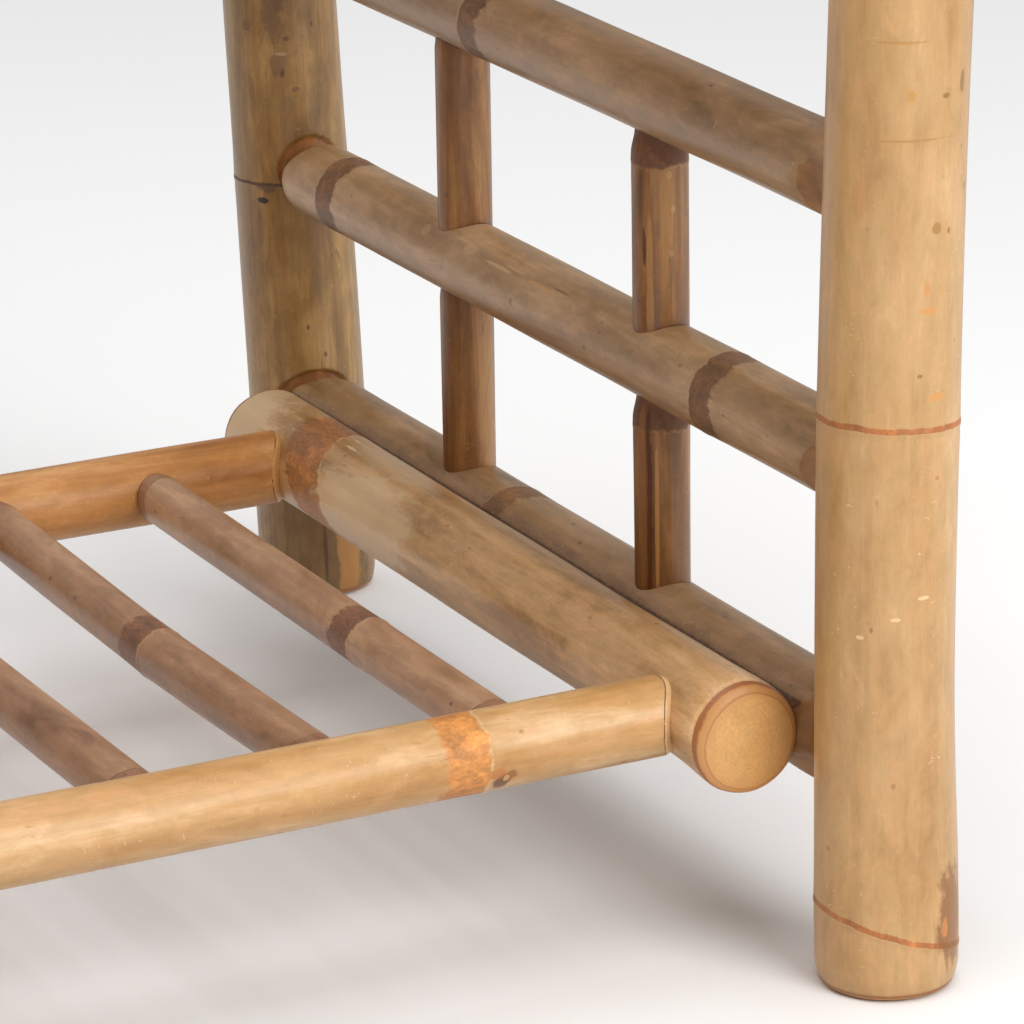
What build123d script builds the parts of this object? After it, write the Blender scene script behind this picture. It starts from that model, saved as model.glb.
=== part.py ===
"""Bamboo luggage rack: two ladder-like end frames joined by a low shelf and an upper luggage deck.

Millimetres. X runs along the rack, Y from its front to its back, Z up.
The origin is on the floor, under the centre of the rack.
"""

from build123d import *
from collections import namedtuple
from math import sqrt
import os

# ---------------------------------------------------------------- driving dimensions
frame_length = 650.0          # between the leg centre lines of the two end frames
frame_depth = 498.0           # between the front and the back leg centre line
leg_height = 465.0

leg_diameter = 50.0
outer_rail_diameter = 38.0    # bottom and top rail of an end frame
inner_rail_diameter = 32.0    # the two rails between them
spindle_diameter = 21.5
end_pole_diameter = 39.5
side_rail_diameter = 30.0
slat_diameter = 20.0

shelf_height = 90.0           # axis height of the shelf's poles
deck_height = 423.0           # axis height of the luggage deck's poles
rail_drop = 6.0               # an outer rail sits this much lower than the poles bolted to it
middle_rail_height = 189.0
upper_rail_height = 291.5

spindle_front_y = -84.0
spindle_back_y = 80.0
end_pole_front_y = -217.5     # free ends of the end poles
end_pole_back_y = 196.0
side_rail_front_y = -184.7
side_rail_back_y = 150.4
slat_count = 7
slat_pitch = 70.5

# ---------------------------------------------------------------- bamboo and joinery
leg_wall = 7.5
outer_rail_wall = 7.0
inner_rail_wall = 6.0
side_rail_wall = 6.0
thin_wall = 4.5               # spindles and slats
diaphragm = 8.0               # thickness of the wood that closes a culm at each of its nodes
shortest_hollow = 12.0        # a space between two nodes that is shorter stays solid
ridge_height = 0.6            # how far the ring at a node stands proud
ridge_half_width = 2.5
edge_break = 1.5              # sanded edge of a sawn end
clearance = 0.05              # all round between two pieces that meet
plug_length = 28.0            # glued part of a hardwood plug, inside the hollow pole
peg_reach = 5.0               # how far a peg goes past the wall that it pins

bolt_radius = 3.0
bolt_hole_radius = 3.3
bolt_head_radius = 5.75
bolt_head_height = 3.5
bolt_socket_flats = 4.0
bolt_socket_depth = 2.0
washer_radius = 9.0
washer_thickness = 2.0        # at its middle, under the bolt head
insert_radius = 5.0
insert_length = 13.0
bolt_front_y = -140.0
bolt_back_y = 120.0

# ---------------------------------------------------------------- derived dimensions
leg_x = frame_length / 2
leg_y = frame_depth / 2
bottom_rail_height = shelf_height - rail_drop
top_rail_height = deck_height - rail_drop
pole_gap = ridge_height + clearance     # bolted poles bear on each other's node rings
axis_distance = outer_rail_diameter / 2 + end_pole_diameter / 2 + pole_gap
end_pole_x = leg_x - sqrt(axis_distance**2 - rail_drop**2)

SIDES = {"right": 1, "left": -1}
TIERS = {"shelf": shelf_height, "deck": deck_height}

# rail name: axis height, diameter, wall, places of its nodes along Y
Rail = namedtuple("Rail", "height diameter wall nodes")
RAILS = {
    "bottom": Rail(bottom_rail_height, outer_rail_diameter, outer_rail_wall, (-190.0, 41.0)),
    "middle": Rail(middle_rail_height, inner_rail_diameter, inner_rail_wall, (-135.0, 187.0)),
    "upper": Rail(upper_rail_height, inner_rail_diameter, inner_rail_wall, (-104.0, 50.0)),
    "top": Rail(top_rail_height, outer_rail_diameter, outer_rail_wall, (-60.0, 172.0)),
}
FRONT_LEG_NODES = (21.0, 208.0)
BACK_LEG_NODES = (177.5,)     # trimmed smooth, so a back leg has no ring
END_POLE_RING = -207.0        # the only ring of an end pole that isn't trimmed off for a joint
FRONT_SIDE_RAIL_NODES = (-40.0, 190.0)
BACK_SIDE_RAIL_NODES = (-160.0, 90.0)
SLAT_NODES = (70.0, -48.0, 12.0, -90.0, 48.0, -34.0, -61.0)

# A round cut into a pole: it starts at the plane and runs along the plane's normal.
Cut = namedtuple("Cut", "plane radius depth both")


# ---------------------------------------------------------------- places and directions
def upward(x, y, z):
    """Plane of a pole that stands upright."""
    return Plane(origin=(x, y, z), x_dir=(1, 0, 0), z_dir=(0, 0, 1))


def backward(x, y, z):
    """Plane of a pole that runs from the front to the back."""
    return Plane(origin=(x, y, z), x_dir=(1, 0, 0), z_dir=(0, 1, 0))


def sideways(x, y, z):
    """Plane of a pole that runs along the rack."""
    return Plane(origin=(x, y, z), x_dir=(0, 1, 0), z_dir=(1, 0, 0))


def facing(origin, direction):
    """Plane at a point, with its normal along a direction."""
    return Plane(origin=origin, z_dir=direction)


def cope(axis_plane, diameter):
    """Fish-mouth that seats a pole's end on the round pole it meets."""
    return Cut(axis_plane, diameter / 2 + clearance, frame_length, True)


def socket(origin, direction, diameter, wall, peg_radius):
    """Hole for a peg, from inside a pole out through its wall."""
    start = Vector(origin) + Vector(direction) * (diameter / 2 - wall - peg_reach - clearance)
    return Cut(facing(start, direction), peg_radius + clearance, wall + peg_reach + 1, False)


# ---------------------------------------------------------------- shapes
def culm(base, length, diameter, wall=None, nodes=(), ridges=None, cuts=()):
    """Bamboo pole along its base plane's normal, hollow between its nodes if it has a wall.

    nodes are distances along the pole. ridges are the nodes whose ring stands proud.
    """
    radius = diameter / 2
    ridges = nodes if ridges is None else ridges
    section = Plane(origin=base.origin, x_dir=base.x_dir, z_dir=-base.y_dir)
    axis = Axis(base.origin, base.z_dir)
    with BuildPart() as pole:
        with BuildSketch(section):
            with BuildLine():
                Polyline((0, 0), (radius - edge_break, 0), (radius, edge_break))
                reached = edge_break
                for node in ridges:
                    Line((radius, reached), (radius, node - ridge_half_width))
                    reached = node + ridge_half_width
                    ThreePointArc(
                        (radius, node - ridge_half_width),
                        (radius + ridge_height, node),
                        (radius, reached),
                    )
                Polyline(
                    (radius, reached),
                    (radius, length - edge_break),
                    (radius - edge_break, length),
                    (0, length),
                    (0, 0),
                )
            make_face()
        revolve(axis=axis)
        if wall:
            bore = radius - wall
            closed = [-diaphragm, *nodes, length + diaphragm]
            for lower, upper in zip(closed, closed[1:]):
                hollow = upper - lower - diaphragm
                if hollow > shortest_hollow:
                    with BuildSketch(section):
                        with Locations((bore / 2, (lower + upper) / 2)):
                            Rectangle(bore, hollow)
                    revolve(axis=axis, mode=Mode.SUBTRACT)
        for cut in cuts:
            with BuildSketch(cut.plane):
                Circle(cut.radius)
            extrude(amount=cut.depth, both=cut.both, mode=Mode.SUBTRACT)
    return pole


def plug(target, direction, target_diameter, target_wall, bore_radius, peg_radius):
    """Turned hardwood plug: glued into a pole's bore, its peg goes through the next pole's wall.

    target is the point where the two axes cross, and direction points into the plugged pole.
    """
    base = facing(target, direction)
    section = Plane(origin=base.origin, x_dir=base.x_dir, z_dir=-base.y_dir)
    tip = target_diameter / 2 - target_wall - peg_reach
    shoulder = target_diameter / 2 + 2 * clearance
    end = shoulder + plug_length
    body_radius = bore_radius - clearance
    with BuildPart() as piece:
        with BuildSketch(section):
            with BuildLine():
                Polyline(
                    (0, tip),
                    (peg_radius - 1, tip),
                    (peg_radius, tip + 1),
                    (peg_radius, shoulder),
                    (body_radius, shoulder),
                    (body_radius, end - 1),
                    (body_radius - 1, end),
                    (0, end),
                    (0, tip),
                )
            make_face()
        revolve(axis=Axis(base.origin, base.z_dir))
    return piece


def save(name, *pieces):
    """Write one node: a single piece, or a group of separate like pieces."""
    solids = [piece.part.solid() for piece in pieces]
    node = solids[0] if len(solids) == 1 else Compound(children=solids)
    node.label = name
    export_step(node, f"parts/{name}.step")


os.makedirs("parts", exist_ok=True)

RAIL_PEG = 7.0
SPINDLE_PEG = 4.0
SIDE_RAIL_PEG = 6.0
SLAT_PEG = 3.5


# ---------------------------------------------------------------- legs
def leg(side, front):
    """One upright, closed at its foot and top, with the holes for the pegs of its four rails."""
    x = SIDES[side] * leg_x
    y = -leg_y if front else leg_y
    inward = (0, 1, 0) if front else (0, -1, 0)
    grown = FRONT_LEG_NODES if front else BACK_LEG_NODES
    nodes = [diaphragm / 2, *grown, leg_height - diaphragm / 2]
    rings = grown if front else ()
    holes = [
        socket((x, y, rail.height), inward, leg_diameter, leg_wall, RAIL_PEG)
        for rail in RAILS.values()
    ]
    return culm(upward(x, y, 0), leg_height, leg_diameter, leg_wall, nodes, rings, holes)


for side in SIDES:
    save(f"leg_front_{side}", leg(side, front=True))
    save(f"leg_back_{side}", leg(side, front=False))


# ---------------------------------------------------------------- end frame rails
def bolt_direction(side, inward=True):
    """Unit vector from an outer rail's axis to the axis of the end pole bolted to it."""
    step = Vector(-SIDES[side] * (leg_x - end_pole_x), 0, rail_drop).normalized()
    return step if inward else -step


def rail_piece(side, name):
    """One rail between two legs, with its peg holes for the spindles and its bolt holes."""
    rail = RAILS[name]
    x = SIDES[side] * leg_x
    cuts = [cope(upward(x, y, 0), leg_diameter) for y in (-leg_y, leg_y)]
    faces = {"bottom": (1,), "middle": (-1, 1), "upper": (-1,), "top": ()}
    for up in faces[name]:
        for y in (spindle_front_y, spindle_back_y):
            cuts.append(
                socket((x, y, rail.height), (0, 0, up), rail.diameter, rail.wall, SPINDLE_PEG)
            )
    if name in ("bottom", "top"):
        for y in (bolt_front_y, bolt_back_y):
            hole = facing((x, y, rail.height), bolt_direction(side))
            cuts.append(Cut(hole, bolt_hole_radius, rail.diameter, True))
    nodes = [node + leg_y for node in rail.nodes]
    base = backward(x, -leg_y, rail.height)
    return culm(base, frame_depth, rail.diameter, rail.wall, nodes, cuts=cuts)


def rail_plugs(side):
    """The plugs that pin one end frame's rails to its legs."""
    x = SIDES[side] * leg_x
    return [
        plug((x, end * leg_y, rail.height), (0, -end, 0), leg_diameter, leg_wall,
             rail.diameter / 2 - rail.wall, RAIL_PEG)
        for rail in RAILS.values()
        for end in (-1, 1)
    ]


for side in SIDES:
    for name in RAILS:
        save(f"rail_{name}_{side}", rail_piece(side, name))
    save(f"rail_plugs_{side}", *rail_plugs(side))


# ---------------------------------------------------------------- spindles
SPINDLE_BAYS = {"lower": ("bottom", "middle"), "upper": ("middle", "upper")}
SPINDLE_PLACES = {"front": spindle_front_y, "back": spindle_back_y}


def spindle(side, bay, place):
    """Short upright between two rails of an end frame."""
    below, above = (RAILS[name] for name in SPINDLE_BAYS[bay])
    x = SIDES[side] * leg_x
    y = SPINDLE_PLACES[place]
    cuts = [cope(backward(x, 0, rail.height), rail.diameter) for rail in (below, above)]
    length = above.height - below.height
    return culm(upward(x, y, below.height), length, spindle_diameter, thin_wall, cuts=cuts)


def spindle_plugs(side):
    """The plugs that pin one end frame's spindles to its rails."""
    x = SIDES[side] * leg_x
    bore = spindle_diameter / 2 - thin_wall
    plugs = []
    for bay in SPINDLE_BAYS.values():
        for name, up in zip(bay, (1, -1)):
            rail = RAILS[name]
            for y in SPINDLE_PLACES.values():
                plugs.append(
                    plug((x, y, rail.height), (0, 0, up), rail.diameter, rail.wall,
                         bore, SPINDLE_PEG)
                )
    return plugs


for side in SIDES:
    for bay in SPINDLE_BAYS:
        for place in SPINDLE_PLACES:
            save(f"spindle_{bay}_{place}_{side}", spindle(side, bay, place))
    save(f"spindle_plugs_{side}", *spindle_plugs(side))


# ---------------------------------------------------------------- shelf and luggage deck
def end_pole(tier, side):
    """Solid pole that closes a grid's end and is bolted to the end frame."""
    z = TIERS[tier]
    x = SIDES[side] * end_pole_x
    inward = (-SIDES[side], 0, 0)
    cuts = [
        socket((x, y, z), inward, end_pole_diameter, side_rail_wall, SIDE_RAIL_PEG)
        for y in (side_rail_front_y, side_rail_back_y)
    ]
    outward = bolt_direction(side, inward=False)
    for y in (bolt_front_y, bolt_back_y):
        surface = Vector(x, y, z) + outward * (end_pole_diameter / 2)
        bottom = surface - outward * (insert_length + clearance)
        tip = surface - outward * (insert_length + 4)
        cuts.append(Cut(facing(bottom, outward), insert_radius + clearance, insert_length + 2, False))
        cuts.append(Cut(facing(tip, outward), bolt_hole_radius, insert_length, False))
    nodes = [END_POLE_RING - end_pole_front_y]
    base = backward(x, end_pole_front_y, z)
    length = end_pole_back_y - end_pole_front_y
    return culm(base, length, end_pole_diameter, nodes=nodes, cuts=cuts)


def slat_x(number):
    """Place of a slat; number 1 is next to the left end."""
    return (number - (slat_count + 1) / 2) * slat_pitch


def side_rail(tier, front):
    """Long rail of a grid, from one end pole to the other."""
    z = TIERS[tier]
    y = side_rail_front_y if front else side_rail_back_y
    inward = (0, 1, 0) if front else (0, -1, 0)
    cuts = [cope(backward(x, 0, z), end_pole_diameter) for x in (-end_pole_x, end_pole_x)]
    for number in range(1, slat_count + 1):
        cuts.append(
            socket((slat_x(number), y, z), inward, side_rail_diameter, side_rail_wall, SLAT_PEG)
        )
    places = FRONT_SIDE_RAIL_NODES if front else BACK_SIDE_RAIL_NODES
    nodes = [node + end_pole_x for node in places]
    base = sideways(-end_pole_x, y, z)
    return culm(base, 2 * end_pole_x, side_rail_diameter, side_rail_wall, nodes, cuts=cuts)


def slat(tier, number):
    """Thin pole between the two side rails of a grid."""
    z = TIERS[tier]
    x = slat_x(number)
    cuts = [cope(sideways(0, y, z), side_rail_diameter) for y in (side_rail_front_y, side_rail_back_y)]
    nodes = [SLAT_NODES[number - 1] - side_rail_front_y]
    length = side_rail_back_y - side_rail_front_y
    return culm(backward(x, side_rail_front_y, z), length, slat_diameter, thin_wall, nodes, cuts=cuts)


def side_rail_plugs(tier):
    """The plugs that pin a grid's side rails to its end poles."""
    bore = side_rail_diameter / 2 - side_rail_wall
    return [
        plug((sign * end_pole_x, y, TIERS[tier]), (-sign, 0, 0), end_pole_diameter,
             side_rail_wall, bore, SIDE_RAIL_PEG)
        for sign in SIDES.values()
        for y in (side_rail_front_y, side_rail_back_y)
    ]


def slat_plugs(tier):
    """The plugs that pin a grid's slats to its side rails."""
    bore = slat_diameter / 2 - thin_wall
    return [
        plug((slat_x(number), y, TIERS[tier]), (0, into, 0), side_rail_diameter,
             side_rail_wall, bore, SLAT_PEG)
        for number in range(1, slat_count + 1)
        for y, into in ((side_rail_front_y, 1), (side_rail_back_y, -1))
    ]


for tier in TIERS:
    for side in SIDES:
        save(f"{tier}_end_pole_{side}", end_pole(tier, side))
    save(f"{tier}_side_rail_front", side_rail(tier, front=True))
    save(f"{tier}_side_rail_back", side_rail(tier, front=False))
    for number in range(1, slat_count + 1):
        save(f"{tier}_slat_{number}", slat(tier, number))
    save(f"{tier}_side_rail_plugs", *side_rail_plugs(tier))
    save(f"{tier}_slat_plugs", *slat_plugs(tier))


# ---------------------------------------------------------------- knock-down fastenings
def bolt_places():
    """Side, outer rail axis point and direction towards the end pole, for every bolt."""
    for side in SIDES:
        for height in (bottom_rail_height, top_rail_height):
            for y in (bolt_front_y, bolt_back_y):
                yield Vector(SIDES[side] * leg_x, y, height), bolt_direction(side)


def washer(rail_point, direction):
    """Saddle washer, hollowed underneath to sit on the round rail."""
    top = outer_rail_diameter / 2 + washer_thickness
    with BuildPart() as piece:
        with BuildSketch(facing(rail_point - direction * top, direction)):
            Circle(washer_radius)
            Circle(bolt_radius + 0.2, mode=Mode.SUBTRACT)
        extrude(amount=washer_thickness + 3)
        with BuildSketch(backward(rail_point.X, rail_point.Y, rail_point.Z)):
            Circle(outer_rail_diameter / 2 + clearance)
        extrude(amount=2 * washer_radius, both=True, mode=Mode.SUBTRACT)
    return piece


def bolt(rail_point, direction):
    """Button-head screw with a hexagon socket, from outside the rail into the end pole."""
    seat = outer_rail_diameter / 2 + washer_thickness + clearance
    reach = seat + axis_distance - end_pole_diameter / 2 + insert_length + 1
    head_plane = facing(rail_point - direction * seat, -direction)
    with BuildPart() as piece:
        with BuildSketch(head_plane):
            Circle(bolt_head_radius)
        extrude(amount=bolt_head_height)
        rim = piece.edges().filter_by(GeomType.CIRCLE).sort_by(Axis(head_plane.origin, -direction))[-1]
        fillet(rim, 1.5)
        with BuildSketch(head_plane.offset(bolt_head_height - bolt_socket_depth)):
            RegularPolygon(bolt_socket_flats / 2, 6, major_radius=False)
        extrude(amount=bolt_socket_depth, mode=Mode.SUBTRACT)
        with BuildSketch(facing(rail_point - direction * seat, direction)):
            Circle(bolt_radius)
        extrude(amount=reach)
    return piece


def insert_nut(rail_point, direction):
    """Threaded insert in the end pole that the bolt screws into."""
    mouth = rail_point + direction * (axis_distance - end_pole_diameter / 2)
    with BuildPart() as piece:
        with BuildSketch(facing(mouth, direction)):
            Circle(insert_radius)
            Circle(bolt_radius + clearance, mode=Mode.SUBTRACT)
        extrude(amount=insert_length)
    return piece


places = list(bolt_places())
save("connector_bolts", *[bolt(*place) for place in places])
save("saddle_washers", *[washer(*place) for place in places])
save("insert_nuts", *[insert_nut(*place) for place in places])
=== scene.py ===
"""Bamboo luggage rack: grown-looking culms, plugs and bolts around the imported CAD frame.

Metres, in the frame's own axes: X along the rack, Y from front to back, Z up.
"""

import math

import bpy
import numpy as np
from mathutils import Matrix, Vector

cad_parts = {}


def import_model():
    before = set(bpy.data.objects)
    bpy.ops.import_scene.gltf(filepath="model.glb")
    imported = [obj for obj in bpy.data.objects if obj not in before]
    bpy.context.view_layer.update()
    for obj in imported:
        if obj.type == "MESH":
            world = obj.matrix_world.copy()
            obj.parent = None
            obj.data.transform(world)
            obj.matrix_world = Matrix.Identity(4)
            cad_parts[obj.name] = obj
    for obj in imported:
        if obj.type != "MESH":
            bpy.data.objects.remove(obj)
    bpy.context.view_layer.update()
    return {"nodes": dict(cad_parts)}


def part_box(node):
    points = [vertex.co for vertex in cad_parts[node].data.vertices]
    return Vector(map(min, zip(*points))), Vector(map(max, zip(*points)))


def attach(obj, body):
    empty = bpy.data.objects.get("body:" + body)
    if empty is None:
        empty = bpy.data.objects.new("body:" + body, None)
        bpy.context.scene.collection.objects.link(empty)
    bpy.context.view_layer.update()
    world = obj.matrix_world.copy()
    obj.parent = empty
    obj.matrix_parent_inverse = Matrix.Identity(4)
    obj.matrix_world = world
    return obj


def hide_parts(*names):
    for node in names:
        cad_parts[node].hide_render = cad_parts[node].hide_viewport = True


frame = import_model()

MM = 0.001

# ---------------------------------------------------------------- the CAD poles
CAD_RING = 0.6 * MM                   # a node ring stands this proud of a CAD pole
RINGLESS = ("leg_back", "spindle")    # CAD poles without rings
# How far a leg's foot, its top and its belly stand off its centre line, in X and Y.
LEANS = {
    "leg_back_right": ((8.0 * MM, -1.5 * MM), (-8.0 * MM, 1.5 * MM), (0.0, 0.0)),
    "leg_front_right": ((0.2 * MM, -0.1 * MM), (8.1 * MM, -3.3 * MM), (-3.1 * MM, 1.6 * MM)),
    "leg_back_left": ((-4.0 * MM, 1.0 * MM), (4.0 * MM, -1.0 * MM), (0.0, 0.0)),
    "leg_front_left": ((2.0 * MM, 1.5 * MM), (-2.5 * MM, -1.0 * MM), (1.0 * MM, 0.0)),
}


class Pole:
    """Place of a round CAD node: the number of its axis, its centre line and its radius."""

    def __init__(self, node):
        low, high = (np.array(corner, float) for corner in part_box(node))
        size = high - low
        self.node = node
        self.axis = int(np.argmax(size))
        self.across = ((self.axis + 1) % 3, (self.axis + 2) % 3)
        self.centre = (low + high) / 2
        ring = 0.0 if node.startswith(RINGLESS) else CAD_RING
        self.radius = min(size[i] for i in self.across) / 2 - ring
        self.low, self.high = low[self.axis], high[self.axis]
        self.lean = LEANS.get(node)

    def shift(self, place):
        """Offset of the centre line, along X, Y and Z, at a place on a leg."""
        if not self.lean:
            return 0.0, 0.0, 0.0
        share = (place - self.low) / (self.high - self.low)
        arch = 4 * share * (1 - share)
        return (*(f + share * (t - f) + arch * b for f, t, b in zip(*self.lean)), 0.0)


# ---------------------------------------------------------------- growing a culm
FINE_STEP = 0.8 * MM           # between the rings of the mesh at nodes and near ends
RIDGE_WIDTH = 1.3 * MM
GROOVE_WIDTH = 1.2 * MM
GROOVE_PLACE = 2.4 * MM        # from the ridge
SWELLING_WIDTH = 10 * MM
# Waves around a culm's section: how many of them, and their height in radii.
SECTION_WAVES = ((2, 0.016), (3, 0.008), (5, 0.004), (7, 0.003), (9, 0.002))
RIPPLE_COUNT = 4
RIPPLE_HEIGHT = 0.004          # in radii
LEAST_TURN = 0.2               # cosine, below which a trimmed facet's plane is out of reach
SOCKET_TURN = 0.3              # cosine, below which a socket is on the far side of the pole
SOCKET_SLOPE = 2.5             # of the wall of a socket
NOSE = math.radians(145)       # the side on which an end pole swells at its front end
END_REACH = 22                 # fine rings near each end
NODE_REACH = 12                # fine rings on each side of a node


def hump(away, width):
    """Bell-shaped bump: 1 in its middle, fading over its width."""
    return np.exp(-((away / width) ** 2))


def smooth(low, high, value):
    """Smooth step from 0 at low to 1 at high."""
    share = np.clip((value - low) / (high - low), 0.0, 1.0)
    return share * share * (3 - 2 * share)


def stations(low, high, nodes, step, zones):
    """Places of the rings along a culm, closer together at its nodes, in zones and near its ends."""
    places = set(np.linspace(low, high, max(3, round((high - low) / step) + 1)))
    for node in nodes:
        reach = range(-NODE_REACH, NODE_REACH + 1)
        places.update(node + offset * FINE_STEP for offset in reach)
    for centre, reach in zones:
        places.update(np.arange(centre - reach, centre + reach, 1.3 * FINE_STEP))
    for end, sign in ((low, 1), (high, -1)):
        places.update(end + sign * offset * FINE_STEP for offset in range(END_REACH))
    kept = []
    for place in sorted(places):
        if low <= place <= high and (not kept or place - kept[-1] > 0.3 * FINE_STEP):
            kept.append(place)
    kept[-1] = high
    return np.array(kept)


class Growth:
    """Seeded unevenness of one culm: its out-of-round section, its swellings and its bow."""

    def __init__(self, seed, radius):
        draw = np.random.default_rng(seed)
        self.waves = [
            (order, size * radius * draw.uniform(0.5, 1.0), draw.uniform(0, 2 * math.pi),
             draw.uniform(-9, 9))
            for order, size in SECTION_WAVES
        ]
        self.ripples = [
            (draw.uniform(14, 60), RIPPLE_HEIGHT * radius * draw.uniform(0.4, 1.0),
             draw.uniform(0, 6.28))
            for _ in range(RIPPLE_COUNT)
        ]
        self.offset = draw.uniform(-3, 3, 3)
        self.tone = draw.uniform(-1, 1)
        self.bow = draw.uniform(-1, 1, 2)
        self.tilts = draw.uniform(-0.06, 0.06, (12, 2))

    def surface(self, angle, place):
        """How far the skin stands off the round CAD pole."""
        total = np.zeros(np.broadcast(angle, place).shape)
        for order, size, phase, twist in self.waves:
            total += size * np.cos(order * angle + phase + twist * place)
        for pitch, size, phase in self.ripples:
            total += size * np.sin(pitch * place + phase)
        return total


def ring_relief(distance, height, side):
    """Relief of a node: a ridge, a shallow groove beside it where the leaf sheath grew, a swelling."""
    ridge = height * hump(distance, RIDGE_WIDTH)
    groove = -0.5 * height * hump(side * distance + GROOVE_PLACE, GROOVE_WIDTH)
    swelling = 0.9 * height * hump(distance, SWELLING_WIDTH)
    return ridge + groove + swelling


class Culm:
    """Mesh of one culm, built as a chain of rings from the middle of one end to the other."""

    def __init__(self, node, seed, nodes=(), around=64, band=4 * MM, strength=1.0, relief=0.3 * MM,
                 bow=0.0, kink=0.0, seats=(), sink=0.35 * MM,
                 pencils=((1.0, 1.0), (1.0, 1.0)), facets=(), sockets=(), dents=(), bevel=1.1 * MM,
                 lop=0.0, step=5 * MM, tilts=None, tone=None, touching=None):
        self.pole = Pole(node)
        self.nodes, self.band, self.strength, self.relief = nodes, band, strength, relief
        self.growth = Growth(seed, self.pole.radius)
        self.bow, self.kink, self.sink, self.bevel, self.lop = bow, kink, sink, bevel, lop
        self.facets, self.sockets, self.dents, self.pencils = facets, sockets, dents, pencils
        self.touch = None
        # A touching pole gives this culm painted contact shadow along the line where the two lie
        # together.
        if touching:
            neighbour, self.shade = touching
            gap = Pole(neighbour).centre - self.pole.centre
            self.touch = math.atan2(gap[self.pole.across[1]], gap[self.pole.across[0]])
        self.tilts = self.growth.tilts if tilts is None else tilts
        self.tone = self.growth.tone if tone is None else tone
        self.angle = np.linspace(0, 2 * math.pi, around, endpoint=False)
        self.rings = []
        self.build(seats, step)

    # -- shape of the skin
    def node_distance(self, place):
        """Signed distance to the nearest node ring, each ring a little tilted."""
        best = np.full(np.broadcast(self.angle, place).shape, 1.0)
        for index, node in enumerate(self.nodes):
            tilt = self.tilts[index]
            centre = node + self.pole.radius * (
                tilt[0] * np.cos(self.angle) + tilt[1] * np.sin(self.angle)
            )
            distance = place - centre
            best = np.where(np.abs(distance) < np.abs(best), distance, best)
        return best

    def skin(self, place, rims=(None, None)):
        """Radius of the skin and how much of it was trimmed off, at every angle."""
        pole = self.pole
        radius = pole.radius + self.growth.surface(self.angle, place)
        side = 1.0 if self.band > 0 else -1.0
        radius = radius + ring_relief(self.node_distance(place), self.relief, side)
        for rim, (share, length) in zip(rims, self.pencils):
            if rim is not None:
                radius = radius * (share + (1 - share) * smooth(0.0, length, rim))
        for angle, centre, half_length, width, depth in self.dents:
            turn = np.arccos(np.clip(np.cos(self.angle - angle), -1, 1))
            radius = radius - depth * hump(turn, width) * hump(place - centre, half_length)
        whole = radius
        depth_of_cut = np.full_like(radius, -MM)
        for angle, start, slope, depth in self.facets:
            turn = np.cos(self.angle - angle)
            level = pole.radius - np.clip((place - start) * slope, -0.5 * MM, depth)
            reached = level / np.maximum(turn, LEAST_TURN)
            plane = np.where(turn > LEAST_TURN, reached, 2 * pole.radius)
            depth_of_cut = np.maximum(depth_of_cut, whole - plane)
        for height, angle, reach, depth in self.sockets:
            offset = -pole.shift(height)[0]
            across = radius * np.cos(self.angle) - offset
            edge = reach - np.hypot(across, place - height)
            facing = np.cos(self.angle - angle) > SOCKET_TURN
            wall = np.where(facing, np.minimum(SOCKET_SLOPE * edge, depth), -MM)
            depth_of_cut = np.maximum(depth_of_cut, wall)
        radius = whole - np.maximum(depth_of_cut, 0)
        return radius, np.clip(depth_of_cut / MM, -1, 1)

    def seat_ends(self, seat, side):
        """Where the culm's surface meets the round pole it is seated on."""
        target = Pole(seat)
        third = 3 - self.pole.axis - target.axis
        radial = np.cos(self.angle) if self.pole.across[0] == third else np.sin(self.angle)
        at = self.pole.centre[target.axis]
        shift = target.shift(at)
        gap = target.centre[third] + shift[third] - self.pole.centre[third]
        off = np.clip(self.pole.radius * radial - gap, -0.97 * target.radius, 0.97 * target.radius)
        depth = np.sqrt(target.radius**2 - off**2) - self.sink
        return target.centre[self.pole.axis] + shift[self.pole.axis] - side * depth

    # -- rings
    def add(self, radius, place, rim, cut=-1.0, sawn=False):
        """Append one ring of the mesh, with its distances to the node and the joint."""
        spread = np.ones_like(self.angle)
        radius, place = radius * spread, place * spread
        distance = self.node_distance(place)
        self.rings.append((radius, place, distance, rim * spread, cut * spread, sawn))

    def end_cap(self, seated, low, place):
        """Rings that close the low or the high end, from its middle outwards."""
        radius, _ = self.skin(place, (0.0, None) if low else (None, 0.0))
        out = -1 if low else 1
        bevel = self.bevel * (1 - self.lop * np.cos(self.angle - NOSE))
        rings = []
        if seated:
            for share in (0.3, 0.7, 0.9):
                rings.append((share * radius, place + out * 2.5 * MM, 0.0, -1.0, False))
        else:
            for share in (0.12, 0.3, 0.5, 0.7, 0.86, 0.95):
                dome = 0.4 * self.bevel * (1 - share**2)
                rings.append((share * (radius - bevel), place + out * dome - out * 0.4 * bevel,
                              self.bevel + (1 - share) * radius, -1.0, True))
            for inward, back in ((1.0, 0.4), (0.62, 0.52), (0.3, 0.75), (0.1, 1.05)):
                rings.append((radius - inward * bevel, place - out * back * bevel,
                              inward * self.bevel, -1.0, True))
            rings.append((radius, place - out * 1.5 * bevel, 0.0, -1.0, True))
        return rings

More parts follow.
